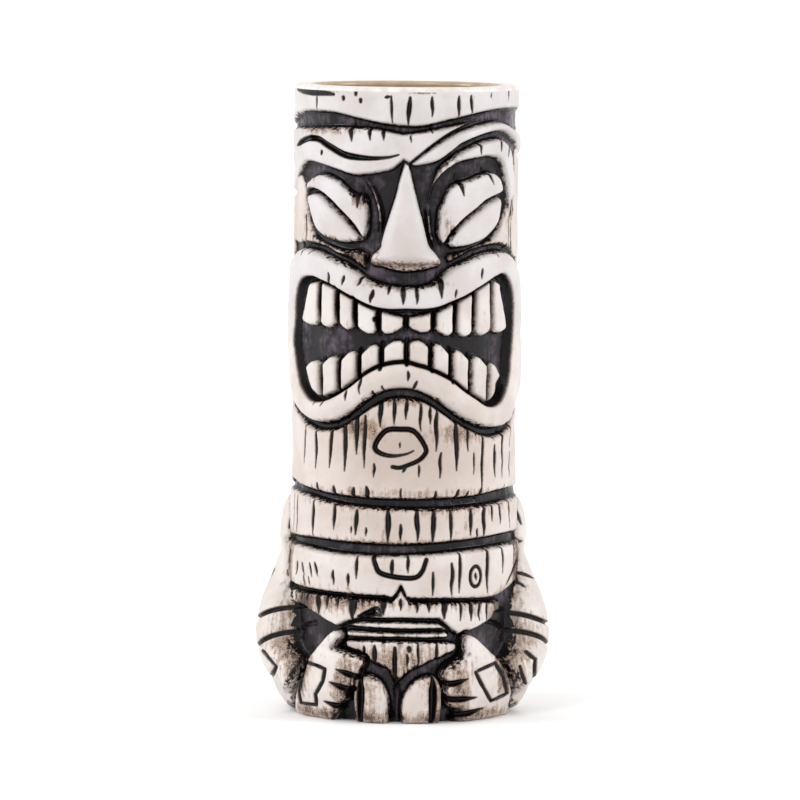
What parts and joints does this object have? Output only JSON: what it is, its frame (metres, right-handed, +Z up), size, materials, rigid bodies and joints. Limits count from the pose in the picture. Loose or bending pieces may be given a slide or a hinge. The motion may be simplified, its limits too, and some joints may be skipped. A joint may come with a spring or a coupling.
{
  "type": "tiki mug",
  "caption": "Tall ceramic drinking mug carved as a crouching tiki figure, with a scowling mask, bared teeth, banded collar and hands on its knees.",
  "frame": {"origin": "centre of the base, on the surface that the mug stands on", "axes": "+Z up along the cup's axis, the carved face looks along -Y, +X is the viewer's right"},
  "size_m": [0.083, 0.0707, 0.18],
  "materials": {
    "dark_stain": "satin dark wash left in the carving",
    "white_glaze": "satin white glaze, rubbed back at the edges",
    "warm_glaze": "satin white glaze tinted beige by the wash",
    "tan_liner": "glossy tan liner glaze"
  },
  "bodies": {
    "root": {"cup_wall": "dark_stain", "interior_glaze": "tan_liner", "rim": "white_glaze", "forehead_band": "white_glaze", "brow_left": "white_glaze", "brow_right": "white_glaze", "brow_right_lower": "white_glaze", "eyelid_left": "white_glaze", "eyeball_left": "white_glaze", "eyelid_right": "white_glaze", "eyeball_right": "white_glaze", "nose": "white_glaze", "upper_lip": "white_glaze", "lower_lip": "white_glaze", "belt_upper": "white_glaze", "belt_lower": "white_glaze", "arm_left": "white_glaze", "arm_right": "white_glaze", "hand_left": "white_glaze", "hand_right": "white_glaze", "foot_left": "white_glaze", "foot_right": "white_glaze", "cheek_left": "warm_glaze", "cheek_right": "warm_glaze", "upper_tooth_1": "warm_glaze", "upper_tooth_2": "warm_glaze", "upper_tooth_3": "warm_glaze", "upper_tooth_4": "warm_glaze", "upper_tooth_5": "warm_glaze", "upper_tooth_6": "warm_glaze", "upper_tooth_7": "warm_glaze", "upper_tooth_8": "warm_glaze", "upper_tooth_9": "warm_glaze", "upper_tooth_10": "warm_glaze", "lower_tooth_1": "warm_glaze", "lower_tooth_2": "warm_glaze", "lower_tooth_3": "warm_glaze", "lower_tooth_4": "warm_glaze", "lower_tooth_5": "warm_glaze", "lower_tooth_6": "warm_glaze", "lower_tooth_7": "warm_glaze", "lower_tooth_8": "warm_glaze", "lower_tooth_9": "warm_glaze", "lower_tooth_10": "warm_glaze", "chin": "warm_glaze", "back_of_head": "warm_glaze", "neck_band": "warm_glaze", "collar_band": "warm_glaze", "belly": "warm_glaze", "loincloth": "warm_glaze", "back_lower": "warm_glaze"}
  },
  "joints": []
}
